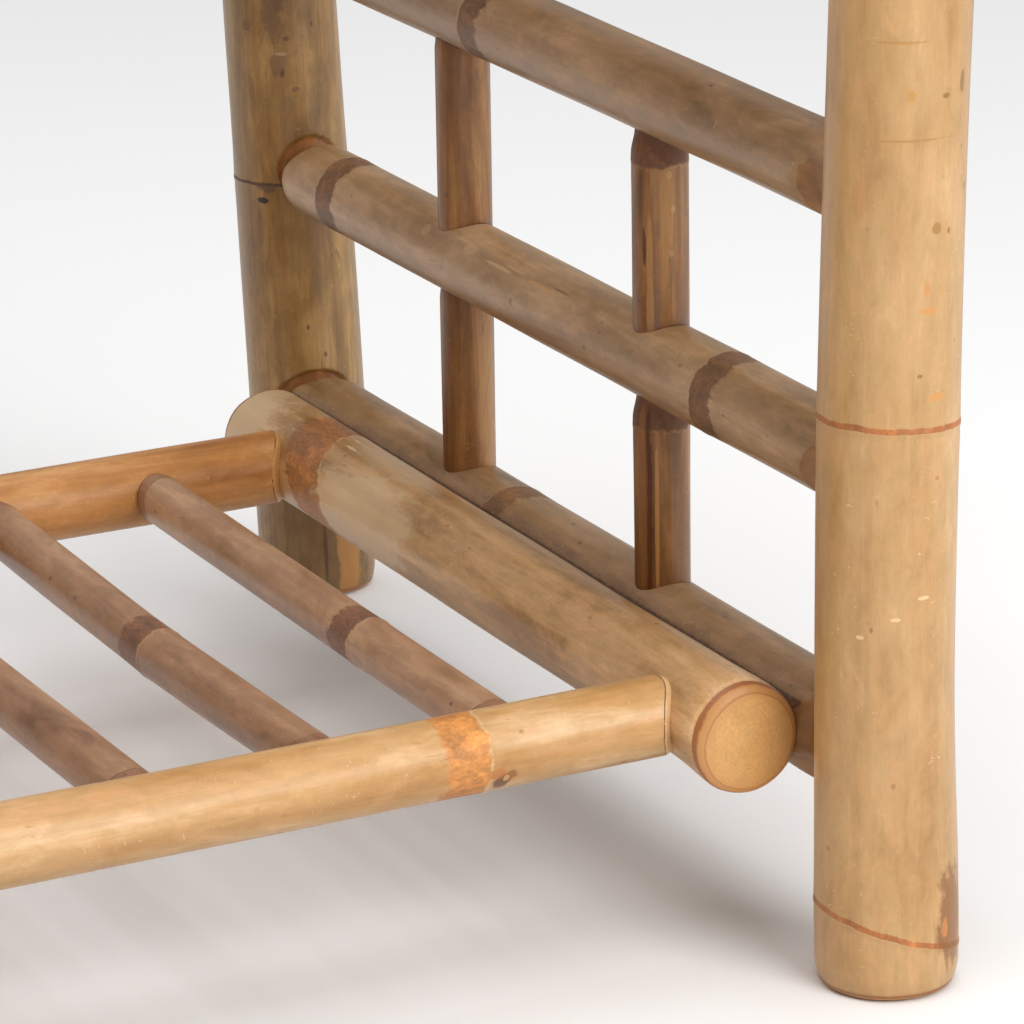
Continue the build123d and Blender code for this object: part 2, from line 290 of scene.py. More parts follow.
    def build(self, seats, step):
        """All rings, those near a seated end sheared to follow the pole that it meets."""
        edges = self.pole.low, self.pole.high
        if seats:
            edges = [self.seat_ends(seat, side) for seat, side in zip(seats, (-1, 1))]
        low, high = np.min(edges[0]), np.max(edges[1])
        for cap in self.end_cap(bool(seats), True, edges[0]):
            self.add(*cap)
        if seats:
            self.add(*self.trimmed(edges[0], edges))
        zone = 1.2 * self.pole.radius
        zones = [(socket[0], socket[2] + 2 * MM) for socket in self.sockets]
        margin = (1.6 + 1.5 * self.lop) * self.bevel
        for nominal in stations(low, high, self.nodes, step, zones):
            if not low + margin < nominal < high - margin:
                continue
            place = nominal * np.ones_like(self.angle)
            if seats and nominal < low + zone:
                place = edges[0] + (nominal - low) / zone * (low + zone - edges[0])
            if seats and nominal > high - zone:
                place = edges[1] - (high - nominal) / zone * (edges[1] - (high - zone))
            self.add(*self.trimmed(place, edges))
        if seats:
            self.add(*self.trimmed(edges[1], edges))
        for cap in reversed(self.end_cap(bool(seats), False, edges[1])):
            self.add(*cap)

    def trimmed(self, place, edges):
        """One ring of the skin, with its distance to the nearest joint; beside a touching pole that
        distance is cut short, for painted contact shadow.
        """
        rims = (place - edges[0], edges[1] - place)
        radius, cut = self.skin(place, rims)
        rim = np.maximum(np.minimum(*rims) - max(self.sink - 0.6 * MM, 0), 0)
        # Painted contact shadow: near the line where a touching pole lies, the distance to the joint
        # falls, so the seam's dark paint spreads there.
        if self.touch is not None:
            turn = np.arccos(np.clip(np.cos(self.angle - self.touch), -1, 1))
            rim = np.minimum(rim, 0.3 * MM + np.maximum(radius * turn - self.shade, 0))
        return radius, place, rim, cut

    # -- Blender mesh
    def piece(self, name, materials):
        """The culm as an object that takes the place of its CAD node."""
        pole, growth = self.pole, self.growth
        count = len(self.angle)
        radius, place, distance, rim, cut = (
            np.array([ring[i] for ring in self.rings]) for i in range(5)
        )
        sawn = [ring[5] for ring in self.rings]
        across_u = radius * np.cos(self.angle)
        across_v = radius * np.sin(self.angle)
        share = np.clip((place - pole.low) / (pole.high - pole.low), 0, 1)
        bow = 4 * share * (1 - share) * self.bow
        if self.nodes:
            corner = (self.nodes[0] - pole.low) / (pole.high - pole.low)
            bow = bow + self.kink * np.minimum(share / corner, (1 - share) / (1 - corner))
        points = np.empty(radius.shape + (3,))
        points[..., pole.axis] = place
        points[..., pole.across[0]] = pole.centre[pole.across[0]] + across_u + bow * growth.bow[0]
        points[..., pole.across[1]] = pole.centre[pole.across[1]] + across_v + bow * growth.bow[1]
        for axis, shift in enumerate(pole.shift(place)):
            points[..., axis] += shift
        vertices = points.reshape(-1, 3).tolist()
        grain = np.stack([across_u, across_v, place], axis=-1).reshape(-1, 3) + growth.offset
        marks = np.stack([distance, rim, cut], axis=-1).reshape(-1, 3)
        faces, face_sawn = [], []
        for row in range(len(self.rings) - 1):
            flag = sawn[row] and sawn[row + 1]
            for column in range(count):
                beside = (column + 1) % count
                faces.append((row * count + column, row * count + beside,
                              (row + 1) * count + beside, (row + 1) * count + column))
                face_sawn.append(flag)
        for row, order in ((0, -1), (len(self.rings) - 1, 1)):
            middle = len(vertices)
            ring = range(row * count, (row + 1) * count)
            vertices.append(points[row].mean(axis=0).tolist())
            grain = np.vstack([grain, grain[row * count:(row + 1) * count].mean(axis=0)])
            inside = marks[row * count:(row + 1) * count].mean(axis=0)
            inside[1] += radius[row].mean()
            marks = np.vstack([marks, inside])
            for index, start in enumerate(ring):
                stop = ring[(index + 1) % count]
                faces.append((start, stop, middle) if order > 0 else (stop, start, middle))
                face_sawn.append(sawn[row])
        mesh = bpy.data.meshes.new(name)
        mesh.from_pydata(vertices, [], faces)
        fade = abs(self.band) + 10 * MM
        near = self.strength * (1 - smooth(fade, fade + 14 * MM, np.abs(marks[:, 0])))
        traits = np.column_stack([np.full(len(near), self.tone), np.full(len(near), self.band), near])
        for title, values in (("grain", grain), ("marks", marks), ("traits", traits)):
            mesh.attributes.new(title, "FLOAT_VECTOR", "POINT").data.foreach_set(
                "vector", values.astype(np.float32).ravel()
            )
        mesh.polygons.foreach_set("material_index", [int(flag) for flag in face_sawn])
        mesh.polygons.foreach_set("use_smooth", [True] * len(faces))
        for material in materials:
            mesh.materials.append(material)
        mesh.validate()
        body = bpy.data.objects.new(name, mesh)
        bpy.context.collection.objects.link(body)
        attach(body, "root")
        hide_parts(pole.node)
        return body


# ---------------------------------------------------------------- material graphs
class Graph:
    """A material's node tree, written from the texture coordinates to the shader."""

    def __init__(self, name):
        self.material = bpy.data.materials.new(name)
        self.material.use_nodes = True
        self.tree = self.material.node_tree
        self.tree.nodes.clear()
        output = self.tree.nodes.new("ShaderNodeOutputMaterial")
        self.shader = self.tree.nodes.new("ShaderNodeBsdfPrincipled")
        self.tree.links.new(self.shader.outputs[0], output.inputs[0])

    def put(self, socket, value):
        """Link a socket into another one, or set its value."""
        if isinstance(value, bpy.types.NodeSocket):
            self.tree.links.new(value, socket)
        elif value is not None:
            socket.default_value = value

    def node(self, kind, *inputs, **settings):
        node = self.tree.nodes.new("ShaderNode" + kind)
        for key, value in settings.items():
            setattr(node, key, value)
        for socket, value in zip(node.inputs, inputs):
            self.put(socket, value)
        return node

    def attribute(self, name):
        return self.node("Attribute", attribute_name=name).outputs["Vector"]

    def split(self, vector):
        return self.node("SeparateXYZ", vector).outputs

    def math(self, operation, a, b=0.0, c=0.5, clamp=False):
        return self.node("Math", a, b, c, operation=operation, use_clamp=clamp).outputs[0]

    def plus(self, a, b):
        return self.math("ADD", a, b)

    def times(self, a, b):
        return self.math("MULTIPLY", a, b)

    def shifted(self, noise, gain, middle=0.0):
        """A noise swung about a middle value: gain times its distance from one half."""
        return self.math("MULTIPLY_ADD", noise, gain, middle - gain / 2)

    def scaled(self, vector, factors):
        return self.node("VectorMath", vector, factors, operation="MULTIPLY").outputs[0]

    def moved(self, vector, offset):
        return self.node("VectorMath", vector, offset, operation="ADD").outputs[0]

    def noise(self, vector, detail=2.0, roughness=0.5, distortion=0.0):
        node = self.node("TexNoise", vector)
        node.inputs["Scale"].default_value = 1.0
        node.inputs["Detail"].default_value = detail
        node.inputs["Roughness"].default_value = roughness
        node.inputs["Distortion"].default_value = distortion
        return node.outputs["Fac"]

    def cells(self, vector):
        node = self.node("TexVoronoi", vector, feature="F1")
        node.inputs["Scale"].default_value = 1.0
        return node.outputs["Distance"]

    def step(self, value, low, high, into_low=0.0, into_high=1.0):
        node = self.node("MapRange", value, low, high, into_low, into_high,
                         interpolation_type="SMOOTHSTEP")
        return node.outputs[0]

    def fall(self, value, low, high):
        """Smooth step from 1 at low to 0 at high."""
        return self.step(value, low, high, 1.0, 0.0)

    def mix(self, share, a, b, blend="MIX"):
        node = self.node("Mix", data_type="RGBA", blend_type=blend)
        self.put(node.inputs[0], share)
        self.put(node.inputs[6], a)
        self.put(node.inputs[7], b)
        return node.outputs[2]

    def dimmed(self, factor, colour):
        """A colour times a grey factor."""
        grey = self.node("CombineXYZ", factor, factor, factor).outputs[0]
        return self.mix(1.0, colour, grey, "MULTIPLY")

    def ramp(self, value, stops):
        node = self.node("ValToRGB", value)
        ramp = node.color_ramp
        while len(ramp.elements) < len(stops):
            ramp.elements.new(0.5)
        for element, (place, colour) in zip(ramp.elements, stops):
            element.position = place
            element.color = colour
        return node.outputs[0]

    def bump(self, height, strength, distance, normal=None):
        node = self.node("Bump")
        node.inputs["Strength"].default_value = strength
        node.inputs["Distance"].default_value = distance
        self.put(node.inputs["Height"], height)
        self.put(node.inputs["Normal"], normal)
        return node.outputs[0]


def linear(red, green, blue):
    """Linear colour of an sRGB one given in 0 to 255."""
    def channel(value):
        value /= 255
        return value / 12.92 if value <= 0.04045 else ((value + 0.055) / 1.055) ** 2.4
    return (channel(red), channel(green), channel(blue), 1.0)


def shades(colour, *steps):
    """Ramp stops of one colour: each step is a place and how bright the colour is there."""
    return [(place, linear(*[min(255, factor * c) for c in colour])) for place, factor in steps]


CRACK = (58, 36, 20)           # dark line round a trimmed lip
SEAM_DIRT_AND_SHADOW = (66, 40, 22)            # dirt in the gap of a joint, and painted contact shadow where one pole lies against another


class Skin(Graph):
    """Material of a culm's skin: what its mesh says of each point, its noises and its colour."""

    def __init__(self, name, dark, base, light, band):
        super().__init__(name)
        self.dark, self.base, self.light, self.band = dark, base, light, band
        self.grain = self.attribute("grain")
        self.distance, self.rim, self.cut = self.split(self.attribute("marks"))[:3]
        self.tone, self.width, self.strength = self.split(self.attribute("traits"))[:3]
        self.streaks = self.field((80, 80, 8), 4, 0.55, 0.6)
        self.lines = self.field((300, 300, 14), 3, 0.6, 0.3)
        self.fibres = self.field((1100, 1100, 60), 3, 0.65)
        self.clouds = self.field((30, 30, 14), 4, 0.6, 0.8)
        self.blots = self.field((140, 140, 60), 4, 0.6, 0.8)
        self.grit = self.field((620, 620, 420), 3, 0.65, 0.3)
        self.tide = self.field((34, 34, 4.2), 3, 0.5, 0.8)
        self.granular = self.plus(self.shifted(self.grit, 0.5), self.shifted(self.blots, 1.3))

    def field(self, stretch, *quality):
        """Noise in the culm's own axes, most often stretched along its grain."""
        return self.noise(self.scaled(self.grain, stretch), *quality)

    def paint(self, mask, share, tint):
        """Lay a colour over the skin where the mask is, to a share of full strength."""
        self.colour = self.mix(self.times(mask, share), self.colour, linear(*tint))


def grain_colour(g, streak, contrast, mottle):
    """Colour along the grain, rosy in some places and greenish in others."""
    level = g.shifted(g.streaks, 0.8 * contrast, 0.5)
    for noise, gain in ((g.lines, 0.26 * streak), (g.clouds, 0.75 * mottle),
                        (g.blots, 0.5 * mottle), (g.grit, 0.12)):
        level = g.plus(level, g.shifted(noise, gain))
    level = g.plus(level, g.times(g.tone, 0.09))
    colour = g.ramp(level, (
        (0.22, linear(*g.dark)),
        (0.42, linear(*[(a + 2 * b) / 3 for a, b in zip(g.dark, g.base)])),
        (0.56, linear(*g.base)),
        (0.80, linear(*g.light)),
    ))
    rosy = g.node("CombineXYZ", 1.03, 0.98, 0.98).outputs[0]
    green = g.node("CombineXYZ", 1.0, 0.99, 0.92).outputs[0]
    for place, cast in ((g.step(g.blots, 0.45, 0.6), rosy),
                        (g.fall(g.clouds, 0.42, 0.58), green)):
        colour = g.mix(place, colour, g.mix(1.0, colour, cast, "MULTIPLY"))
    g.colour = colour


def add_fibres(g, streak):
    """Fine fibres, dark strands and the contour lines of the peeled layers."""
    fine = g.step(g.fibres, 0.32, 0.68, 1 - 0.07 * streak, 1 + 0.05 * streak)
    g.colour = g.dimmed(fine, g.colour)
    strand = g.times(g.step(g.lines, 0.60, 0.74), g.step(g.clouds, 0.46, 0.62))
    g.paint(strand, 0.55 * streak, g.dark)
    contour = g.fall(g.math("PINGPONG", g.times(g.tide, 9.0), 0.5), 0.0, 0.05)
    g.contour = g.times(contour, g.step(g.streaks, 0.5, 0.62))
    g.paint(g.contour, 0.35 * streak, g.dark)


def add_scars(g, dirt):
    """Rust stains, pits, pale nicks across the grain and dark dashes along it."""
    stain = g.times(g.step(g.blots, 0.60, 0.70), g.step(g.clouds, 0.50, 0.62))
    g.paint(stain, 0.55 * dirt, g.band)
    pits = g.fall(g.cells(g.scaled(g.grain, (100, 100, 70))), 0.04, 0.12)
    g.pits = g.times(pits, g.step(g.clouds, 0.48, 0.56))
    g.paint(g.pits, 0.7, [0.75 * c for c in g.band])
    across = g.moved(g.scaled(g.grain, (330, 330, 620)), (5.0, 0.0, 3.0))
    nicks = g.step(g.noise(across, 2, 0.5, 1.2), 0.68, 0.73)
    g.nicks = g.times(nicks, g.step(g.tide, 0.46, 0.54))
    g.paint(g.nicks, 0.45, [min(255, 1.06 * c) for c in g.light])
    along = g.moved(g.scaled(g.grain, (420, 420, 90)), (0.0, 7.0, 1.0))
    dashes = g.step(g.noise(along, 2, 0.5, 0.8), 0.68, 0.74)
    g.paint(g.times(dashes, g.step(g.blots, 0.46, 0.54)), dirt, g.dark)


def add_band(g):
    """Node: a rust band, ragged on its far side, with a pale brim at the ring."""
    size = g.math("ABSOLUTE", g.width)
    spread = g.math("DIVIDE", g.math("MINIMUM", size, 12 * MM), size)
    along = g.math("DIVIDE", g.distance, g.width)
    start = g.plus(g.math("DIVIDE", along, spread), g.shifted(g.blots, 0.35))
    past = g.math("DIVIDE", g.math("SUBTRACT", along, 1.0), spread)
    crisp = g.step(g.plus(start, g.times(g.granular, 0.3)), -0.08, 0.04)
    ragged = g.fall(g.plus(past, g.times(g.granular, 0.75)), -0.16, 0.1)
    inside = g.times(g.times(crisp, ragged), g.strength)
    worn = g.step(g.clouds, 0.25, 0.5, 0.8, 1.0)
    g.inside = g.math("MULTIPLY", inside, worn, clamp=True)
    swirl = g.plus(g.shifted(g.grit, 0.9), g.shifted(g.blots, 1.1))
    swirl = g.times(swirl, g.step(size, 3 * MM, 14 * MM, 0.45, 0.6))
    rust = shades(g.band, (0.2, 0.66), (0.42, 0.9), (0.58, 1.06), (0.8, 1.4))
    g.colour = g.mix(g.inside, g.colour, g.ramp(g.plus(swirl, 0.5), rust))
    brim = g.fall(g.math("ABSOLUTE", g.plus(start, 0.06)), 0.02, 0.07)
    brim = g.times(g.times(brim, g.strength), g.step(g.grit, 0.35, 0.6))
    g.paint(brim, 0.5, g.light)


def add_spots(g, spots):
    """The marks of this one culm, and the patches of painted highlight and painted shade that some
    culms are given.
    """
    for centre, size, tint, share in spots:
        away = g.moved(g.grain, tuple(-c for c in centre))
        away = g.scaled(away, tuple(1 / c for c in size))
        away = g.node("VectorMath", away, operation="LENGTH").outputs["Value"]
        away = g.plus(away, g.times(g.granular, 0.9))
        g.paint(g.fall(away, 0.75, 1.1), share, tint)


def paint_underside_shade(g):
    """Painted shade: the undersides are a little darker, as if less light reached them from below."""
    upward = g.split(g.node("NewGeometry").outputs["Normal"])[2]
    g.colour = g.dimmed(g.step(upward, -0.9, 0.1, 0.72, 1.0), g.colour)


def add_joints(g, lip, cap, trim):
    """Ends: trimmed wood is a plain orange brown, dirt and lacquer gather at the joint, and painted
    contact shadow lies beside a touching pole.
    """
    trimmed = g.step(g.cut, 0.0, 0.06)
    bare = g.ramp(g.blots, shades(trim, (0.3, 0.84), (0.55, 1.0), (0.75, 1.14)))
    g.colour = g.mix(trimmed, g.colour, bare)
    if lip:
        wavy = g.plus(g.rim, g.shifted(g.clouds, 2.5 * MM, -lip))
        lipped = g.step(wavy, -0.3 * MM, 0.0, 0.55, 0.0)
        g.colour = g.mix(lipped, g.colour, linear(*cap))
        line = g.fall(g.math("ABSOLUTE", wavy), 0.1 * MM, 0.42 * MM)
        g.paint(g.times(line, g.step(g.blots, 0.4, 0.52)), 0.85, CRACK)
    # The rust halo and the dark seam are dirt at a joint, and beside a touching pole they are painted
    # contact shadow.
    creep = g.plus(g.rim, g.times(g.granular, 4 * MM))
    halo = g.fall(creep, 0.6 * MM, 4.0 * MM)
    g.paint(halo, 0.2 if lip else 0.35, g.band)
    gap = g.plus(g.rim, g.shifted(g.grit, 1.2 * MM))
    whole = g.math("SUBTRACT", 1.0, g.times(trimmed, 0.75))
    g.paint(g.times(g.fall(gap, 0.2 * MM, 1.0 * MM), whole), 0.8, SEAM_DIRT_AND_SHADOW)


def roughness(g):
    rough = g.step(g.clouds, 0.3, 0.7, 0.34, 0.46)
    rough = g.plus(rough, g.times(g.inside, 0.2))
    return g.plus(rough, g.shifted(g.blots, 0.14))


def relief(g, streak):
    """Fine relief of fibres, scars and bands on top of broad streaks."""
    height = g.times(g.fibres, 0.2 * streak)
    for part, share in ((g.lines, 0.3 * streak), (g.grit, 0.16),
                        (g.plus(g.pits, g.nicks), -1.0), (g.contour, -0.35),
                        (g.times(g.inside, g.grit), 1.6)):
        height = g.plus(height, g.times(part, share))
    broad = g.plus(g.streaks, g.times(g.blots, 0.35))
    return g.bump(broad, 0.55, 0.8 * MM, g.bump(height, 0.5, 0.22 * MM))


def bamboo(name, dark, base, light, band, streak=1.0, contrast=1.0, mottle=1.0, lip=0.0,
           cap=None, trim=(164, 108, 58), dirt=0.5, spots=()):
    """Peeled and lacquered bamboo skin. Its colours are sRGB triples.

    lip is the length of the trimmed end that shows as a ring of its own, cap is its colour
    and trim the colour of wood laid bare by a cut.
    spots are marks of this one culm, some of them painted highlight and some painted shade: centre in
    its own axes, half sizes, sRGB colour, strength.
    """
    g = Skin(name, dark, base, light, band)
    grain_colour(g, streak, contrast, mottle)
    add_fibres(g, streak)
    add_scars(g, dirt)
    add_band(g)
    add_spots(g, spots)
    # painted shade on the undersides
    paint_underside_shade(g)
    add_joints(g, lip, cap or light, trim)
    shader = g.shader.inputs
    g.put(shader["Base Color"], g.colour)
    g.put(shader["Roughness"], roughness(g))
    g.put(shader["Normal"], relief(g, streak))
    shader["Coat Weight"].default_value = 0.2
    shader["Coat Roughness"].default_value = 0.35
    return g.material


def sawn_wood(name, base, deep, bevel):
    """Sawn end of a culm: a pale sanded face with fine pores, inside a darker rounded rim, with painted
    shade that darkens the face towards the rim.
    """
    g = Graph(name)
    grain = g.attribute("grain")
    rim = g.split(g.attribute("marks"))[1]
    clouds = g.noise(g.scaled(grain, (90, 90, 90)), 4, 0.6, 0.5)
    grit = g.noise(g.scaled(grain, (1100, 1100, 1100)), 2, 0.6)
    pores = g.cells(g.scaled(grain, (700, 700, 150)))
    colour = g.ramp(clouds, shades(base, (0.3, 0.94), (0.5, 1.0), (0.7, 1.05)))
    pits = g.times(g.step(pores, 0.08, 0.3, 1.0, 0.0), g.step(clouds, 0.42, 0.6))
    pit_colour = linear(*[0.6 * c for c in deep])
    colour = g.mix(g.times(pits, 0.35), colour, pit_colour)
    colour = g.mix(g.step(grit, 0.35, 0.65, 0.0, 0.18), colour, linear(*deep))
    wall = g.plus(rim, g.shifted(clouds, 0.5 * bevel))
    pale = [0.6 * a + 0.4 * b for a, b in zip(base, deep)]
    rim_shade = [0.7 * a + 0.3 * b for a, b in zip(base, deep)]
    # Painted shade: the face darkens over a broad band towards its rim.
    colour = g.mix(g.step(wall, bevel, 3.4 * bevel, 0.6, 0.0), colour, linear(*rim_shade))
    colour = g.mix(g.step(wall, 0.85 * bevel, 1.25 * bevel, 0.8, 0.0), colour, linear(*pale))
    inner = g.step(g.math("ABSOLUTE", g.math("SUBTRACT", wall, 0.95 * bevel)), 0.03 * bevel,
                   0.16 * bevel, 0.45, 0.0)
    colour = g.mix(inner, colour, linear(*deep))
    colour = g.mix(g.step(wall, 0.1 * bevel, 0.3 * bevel, 0.9, 0.0), colour, linear(*deep))
    g.put(g.shader.inputs["Base Color"], colour)
    g.put(g.shader.inputs["Roughness"], g.step(grit, 0.3, 0.7, 0.38, 0.55))
    height = g.math("SUBTRACT", g.times(grit, 0.5), pits)
    g.put(g.shader.inputs["Normal"], g.bump(height, 0.5, 0.2 * MM))
    g.shader.inputs["Coat Weight"].default_value = 0.1
    g.shader.inputs["Coat Roughness"].default_value = 0.3
    return g.material


def hardwood(name):
    """Raw turned hardwood of the plugs."""
    g = Graph(name)
    place = g.node("TexCoord").outputs["Object"]
    fibre = g.noise(g.scaled(place, (700, 90, 700)), 3, 0.6)
    cloud = g.noise(g.scaled(place, (60, 60, 60)), 3, 0.5)
    colour = g.ramp(fibre, (
        (0.3, linear(150, 110, 70)), (0.55, linear(186, 145, 98)), (0.75, linear(205, 168, 120)),
    ))
    g.put(g.shader.inputs["Base Color"], colour)
    g.put(g.shader.inputs["Roughness"], g.step(cloud, 0.3, 0.7, 0.6, 0.78))
    g.put(g.shader.inputs["Normal"], g.bump(fibre, 0.4, 0.2 * MM))
    return g.material


def zinc(name):
    """Dull zinc-plated steel of the bolts, washers and inserts."""
    g = Graph(name)
    place = g.node("TexCoord").outputs["Object"]
    cloud = g.noise(g.scaled(place, (220, 220, 220)), 4, 0.6)
    scratch = g.noise(g.scaled(place, (2600, 300, 300)), 2, 0.6)
    colour = g.ramp(cloud, (
        (0.3, linear(150, 150, 146)), (0.55, linear(182, 183, 180)), (0.8, linear(205, 205, 200)),
    ))
    g.put(g.shader.inputs["Base Color"], colour)
    g.put(g.shader.inputs["Roughness"], g.step(scratch, 0.3, 0.7, 0.26, 0.45))
    g.put(g.shader.inputs["Normal"], g.bump(scratch, 0.25, 0.05 * MM))
    g.shader.inputs["Metallic"].default_value = 1.0
    return g.material


# ---------------------------------------------------------------- marks, painted highlight and shade, and looks of single culms
def spot(node, seed, angle, place, size, tint, share):
    """A mark on one culm: degrees round it, metres along it, half its width and length in mm."""
    radius = Pole(node).radius
    turn = math.radians(angle)
    centre = np.array([radius * math.cos(turn), radius * math.sin(turn), place])
    centre = centre + Growth(seed, radius).offset
    across, along = (MM * half for half in size)
    return tuple(centre.tolist()), (across, across, along), tint, share


def marks(node, seed, *rows):
    """The marks of one culm, each row with the values of spot from its angle on."""
    return [spot(node, seed, *row) for row in rows]


LEG_SEEDS = {"leg_front_right": 11, "leg_back_right": 12, "leg_front_left": 13, "leg_back_left": 14}
GRID_SEED = 100                # of the shelf and the deck: one more for each pole
RAIL_SEED = 31
SPINDLE_SEED = 61

# The culms with marks of their own, apart from the legs, and their seeds.
SHELF_RAIL, SHELF_RAIL_SEED = "shelf_side_rail_front", GRID_SEED + 3
END_POLE, END_POLE_SEED = "shelf_end_pole_right", GRID_SEED + 1
SCARRED_RAIL, SCARRED_RAIL_SEED = "rail_middle_right", RAIL_SEED + 1
LOWER_SPINDLE, LOWER_SPINDLE_SEED = "spindle_lower_front_right", SPINDLE_SEED
UPPER_SPINDLE, UPPER_SPINDLE_SEED = "spindle_upper_front_right", SPINDLE_SEED + 2

FRONT_LEG_MARKS = marks(
    "leg_front_right", LEG_SEEDS["leg_front_right"],
    (-80, 0.2245, (3.6, 1.6), (214, 148, 80), 0.85),
    (-77, 0.1950, (1.5, 0.9), (186, 128, 58), 0.9),
    (-90, 0.2560, (3.4, 1.2), (212, 146, 76), 0.85),
    (-92, 0.2640, (1.2, 2.8), (208, 142, 76), 0.75),
    (-96, 0.2330, (1.0, 0.7), (150, 100, 50), 0.8),
    (-141, 0.1380, (1.5, 0.8), (236, 196, 142), 0.8),
    (-112, 0.1450, (2.2, 0.8), (238, 200, 148), 0.8),
    (-88, 0.1520, (2.6, 0.9), (238, 200, 148), 0.8),
    (-54, 0.0290, (10.0, 20.0), (142, 88, 30), 0.9),
    (-107, 0.3166, (14.0, 0.5), (176, 130, 66), 0.75),
    (-118, 0.3508, (10.0, 0.5), (188, 134, 66), 0.8),
    (-110, 0.3322, (1.6, 2.0), (196, 142, 72), 0.9),
    (-80, 0.3312, (1.6, 0.9), (150, 104, 50), 0.9),
    (-60, 0.3346, (1.8, 4.5), (152, 108, 48), 0.9),
    (-85, 0.2849, (1.8, 2.2), (166, 118, 52), 0.85),
    (-150, 0.2955, (3.0, 9.0), (194, 138, 84), 0.5),
    (-66, 0.0260, (2.5, 5.0), (206, 132, 60), 0.8),
    (-52, 0.0370, (2.0, 4.5), (112, 66, 34), 0.8),
    (-123, 0.0125, (0.45, 7.0), (100, 66, 40), 0.9),
)
BACK_LEG_MARKS_AND_PAINTED_LIGHT = marks(
    "leg_back_right", LEG_SEEDS["leg_back_right"],
    (-146, 0.1785, (3.0, 1.6), (34, 22, 14), 0.95),
    (-142, 0.1845, (5.0, 2.4), (92, 62, 36), 0.7),
    (-122, 0.2380, (3.6, 6.0), (128, 94, 62), 0.7),
    (-118, 0.2345, (1.0, 2.6), (84, 56, 34), 0.8),
    (-119, 0.2425, (3.0, 0.8), (190, 156, 116), 0.7),
    (-112, 0.2490, (1.6, 1.2), (96, 66, 40), 0.7),
    (-152, 0.2540, (2.2, 2.4), (112, 82, 52), 0.6),
    (-106, 0.2270, (2.2, 1.4), (104, 74, 46), 0.6),
    # Painted shade: a broad dark patch over the foot, for the occlusion near the floor.
    (-118, 0.0300, (28.0, 50.0), (92, 66, 38), 0.5),
    (-124, 0.3000, (6.0, 60.0), (112, 78, 48), 0.65),
    # Partly orange skin, partly painted highlight: a bright strip on the side of the foot that faces
    # the key light.
    (-80, 0.0200, (6.0, 60.0), (206, 142, 66), 0.6),
    (-105, 0.0250, (1.0, 24.0), (74, 50, 30), 0.7),
)
SHELF_RAIL_MARKS = marks(
    SHELF_RAIL, SHELF_RAIL_SEED,
    (214, 0.1985, (4.2, 3.2), (112, 64, 28), 0.9),
    (203, 0.2020, (2.4, 2.2), (150, 88, 40), 0.8),
    (206, 0.2000, (1.4, 1.2), (214, 160, 96), 0.9),
    (211, 0.2035, (1.2, 1.2), (206, 150, 88), 0.9),
    (196, 0.1960, (2.6, 3.4), (196, 116, 52), 0.7),
)
RAIL_MARKS = marks(
    SCARRED_RAIL, SCARRED_RAIL_SEED,
    (-50, 0.0900, (2.6, 2.8), (198, 158, 112), 0.6),
    (-44, 0.0520, (2.8, 5.0), (206, 168, 122), 0.65),
    (-36, 0.0600, (0.7, 8.0), (210, 172, 124), 0.8),
    (-48, 0.0260, (0.8, 11.0), (212, 174, 126), 0.8),
    (-40, 0.0140, (0.9, 9.0), (206, 166, 118), 0.7),
    (-46, -0.0100, (1.1, 14.0), (206, 162, 112), 0.75),
    (-38, -0.0240, (0.6, 7.0), (124, 88, 56), 0.7),
    (-70, -0.0080, (2.4, 2.0), (196, 154, 108), 0.6),
    (-84, 0.0080, (1.8, 1.6), (134, 92, 56), 0.6),
)
LOWER_SPINDLE_MARKS = marks(
    LOWER_SPINDLE, LOWER_SPINDLE_SEED,
    (-147, 0.1300, (1.5, 60.0), (84, 38, 14), 0.8),
    (-129, 0.1200, (0.8, 48.0), (202, 146, 84), 0.75),
    (-160, 0.1300, (2.0, 60.0), (158, 108, 58), 0.6),
)
UPPER_SPINDLE_MARKS = marks(
    UPPER_SPINDLE, UPPER_SPINDLE_SEED,
    (-140, 0.2200, (1.4, 30.0), (190, 138, 80), 0.7),
    (-152, 0.2350, (0.9, 8.0), (82, 42, 20), 0.85),
    (-100, 0.2630, (1.2, 1.8), (192, 152, 104), 0.7),
    (-92, 0.2500, (1.0, 1.5), (192, 152, 104), 0.7),
    (-96, 0.2330, (1.2, 1.6), (184, 144, 96), 0.6),
)
END_POLE_MARKS_AND_SHEEN = marks(
    END_POLE, END_POLE_SEED,
    # The first three are broad pale patches on the upper side and the far end: partly paler skin,
    # partly painted highlight for the sheen of the light from above.
    (-45, 0.2080, (26.0, 56.0), (232, 202, 160), 0.75),
    (-80, 0.0600, (20.0, 44.0), (236, 206, 162), 0.6),
    (10, 0.0700, (10.0, 40.0), (226, 196, 154), 0.45),
    (-10, 0.1020, (0.9, 5.0), (236, 212, 174), 0.8),
    (8, 0.1090, (0.8, 4.0), (236, 212, 174), 0.8),
    (22, 0.0980, (0.8, 3.0), (236, 212, 174), 0.7),
    (160, -0.2130, (6.0, 5.0), (112, 62, 30), 0.8),
)

LEG_LOOK = dict(dark=(166, 120, 70), base=(202, 161, 108), light=(228, 194, 146),
                band=(178, 108, 54), streak=0.35, contrast=0.55, mottle=0.75, dirt=0.3)
